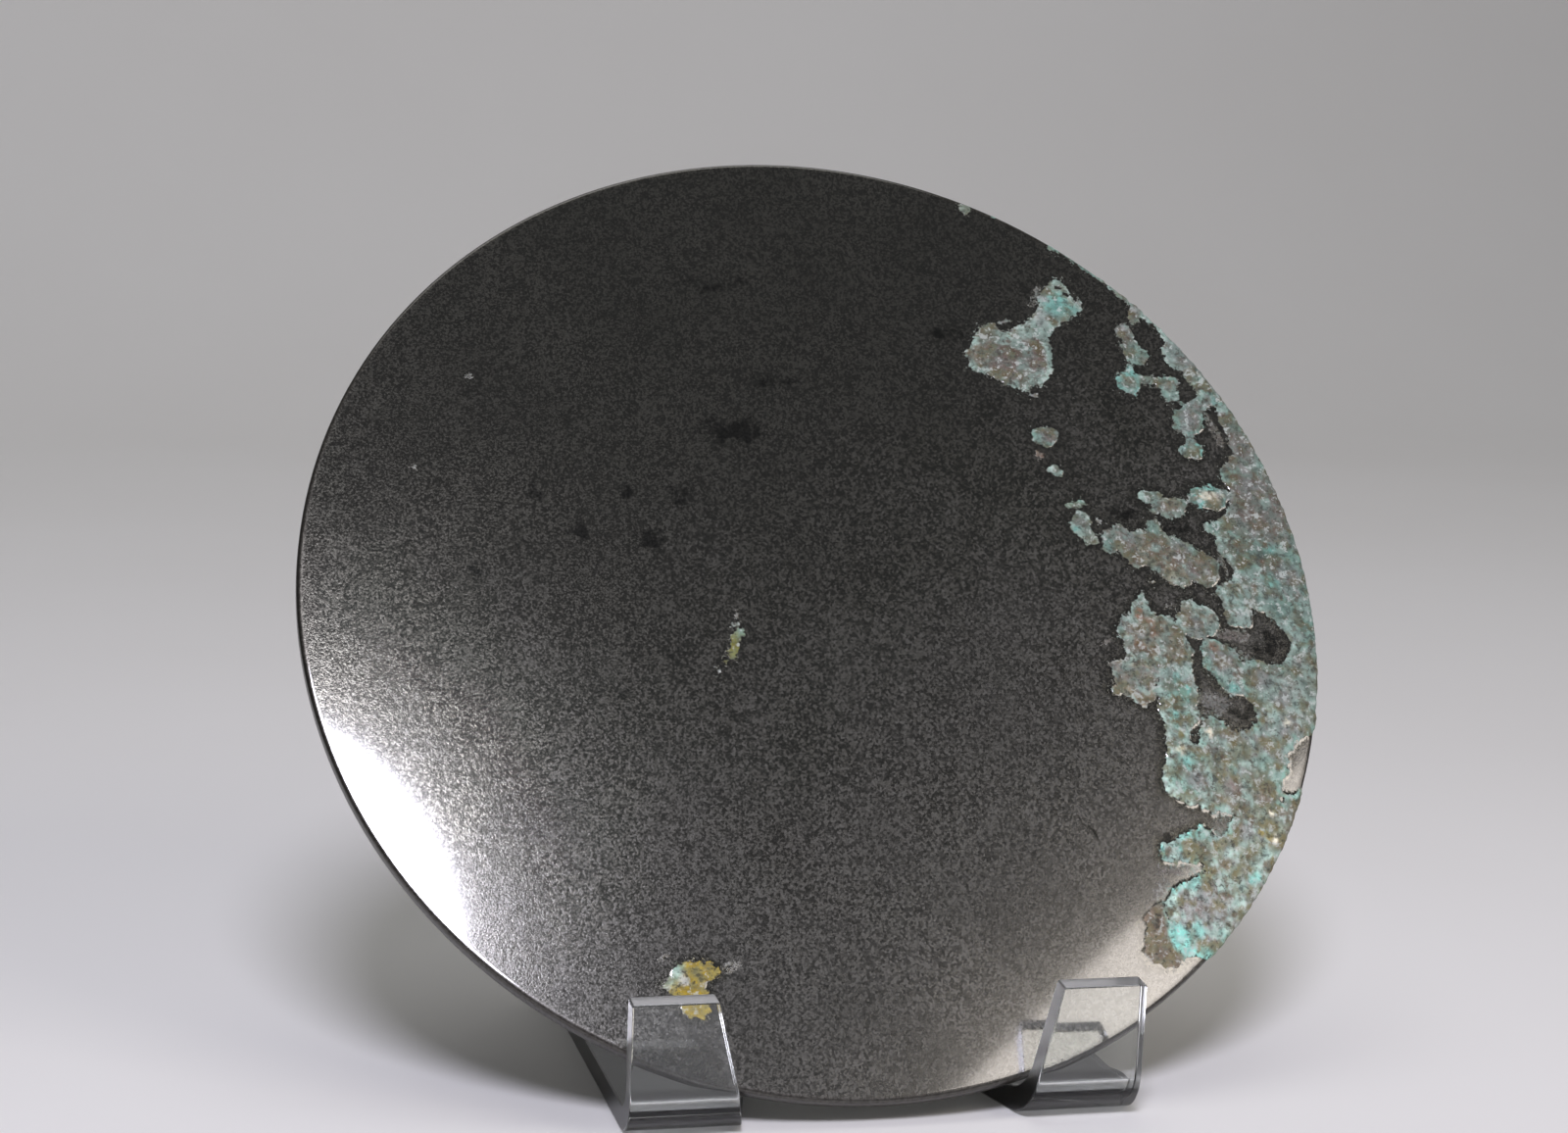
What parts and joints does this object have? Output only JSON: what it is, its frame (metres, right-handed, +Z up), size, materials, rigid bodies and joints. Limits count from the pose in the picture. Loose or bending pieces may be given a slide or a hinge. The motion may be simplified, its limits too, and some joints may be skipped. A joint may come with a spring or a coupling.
{
  "type": "ancient bronze mirror on a clear cradle",
  "caption": "Round cast bronze mirror with a domed polished face, a plain rim and a pierced knob at the back, leaning in a clear bent-sheet cradle with front lips.",
  "frame": {"origin": "on the floor, under the middle of the whole outline", "axes": "+Z up, -Y is the front that the polished face looks towards, +X to the viewer's right when facing it"},
  "size_m": [0.21, 0.1282, 0.1762],
  "materials": {
    "bronze": "polished with a black patina and green corrosion",
    "acrylic": "clear and polished"
  },
  "bodies": {
    "root": {"mirror": "bronze", "stand": "acrylic"}
  },
  "joints": []
}
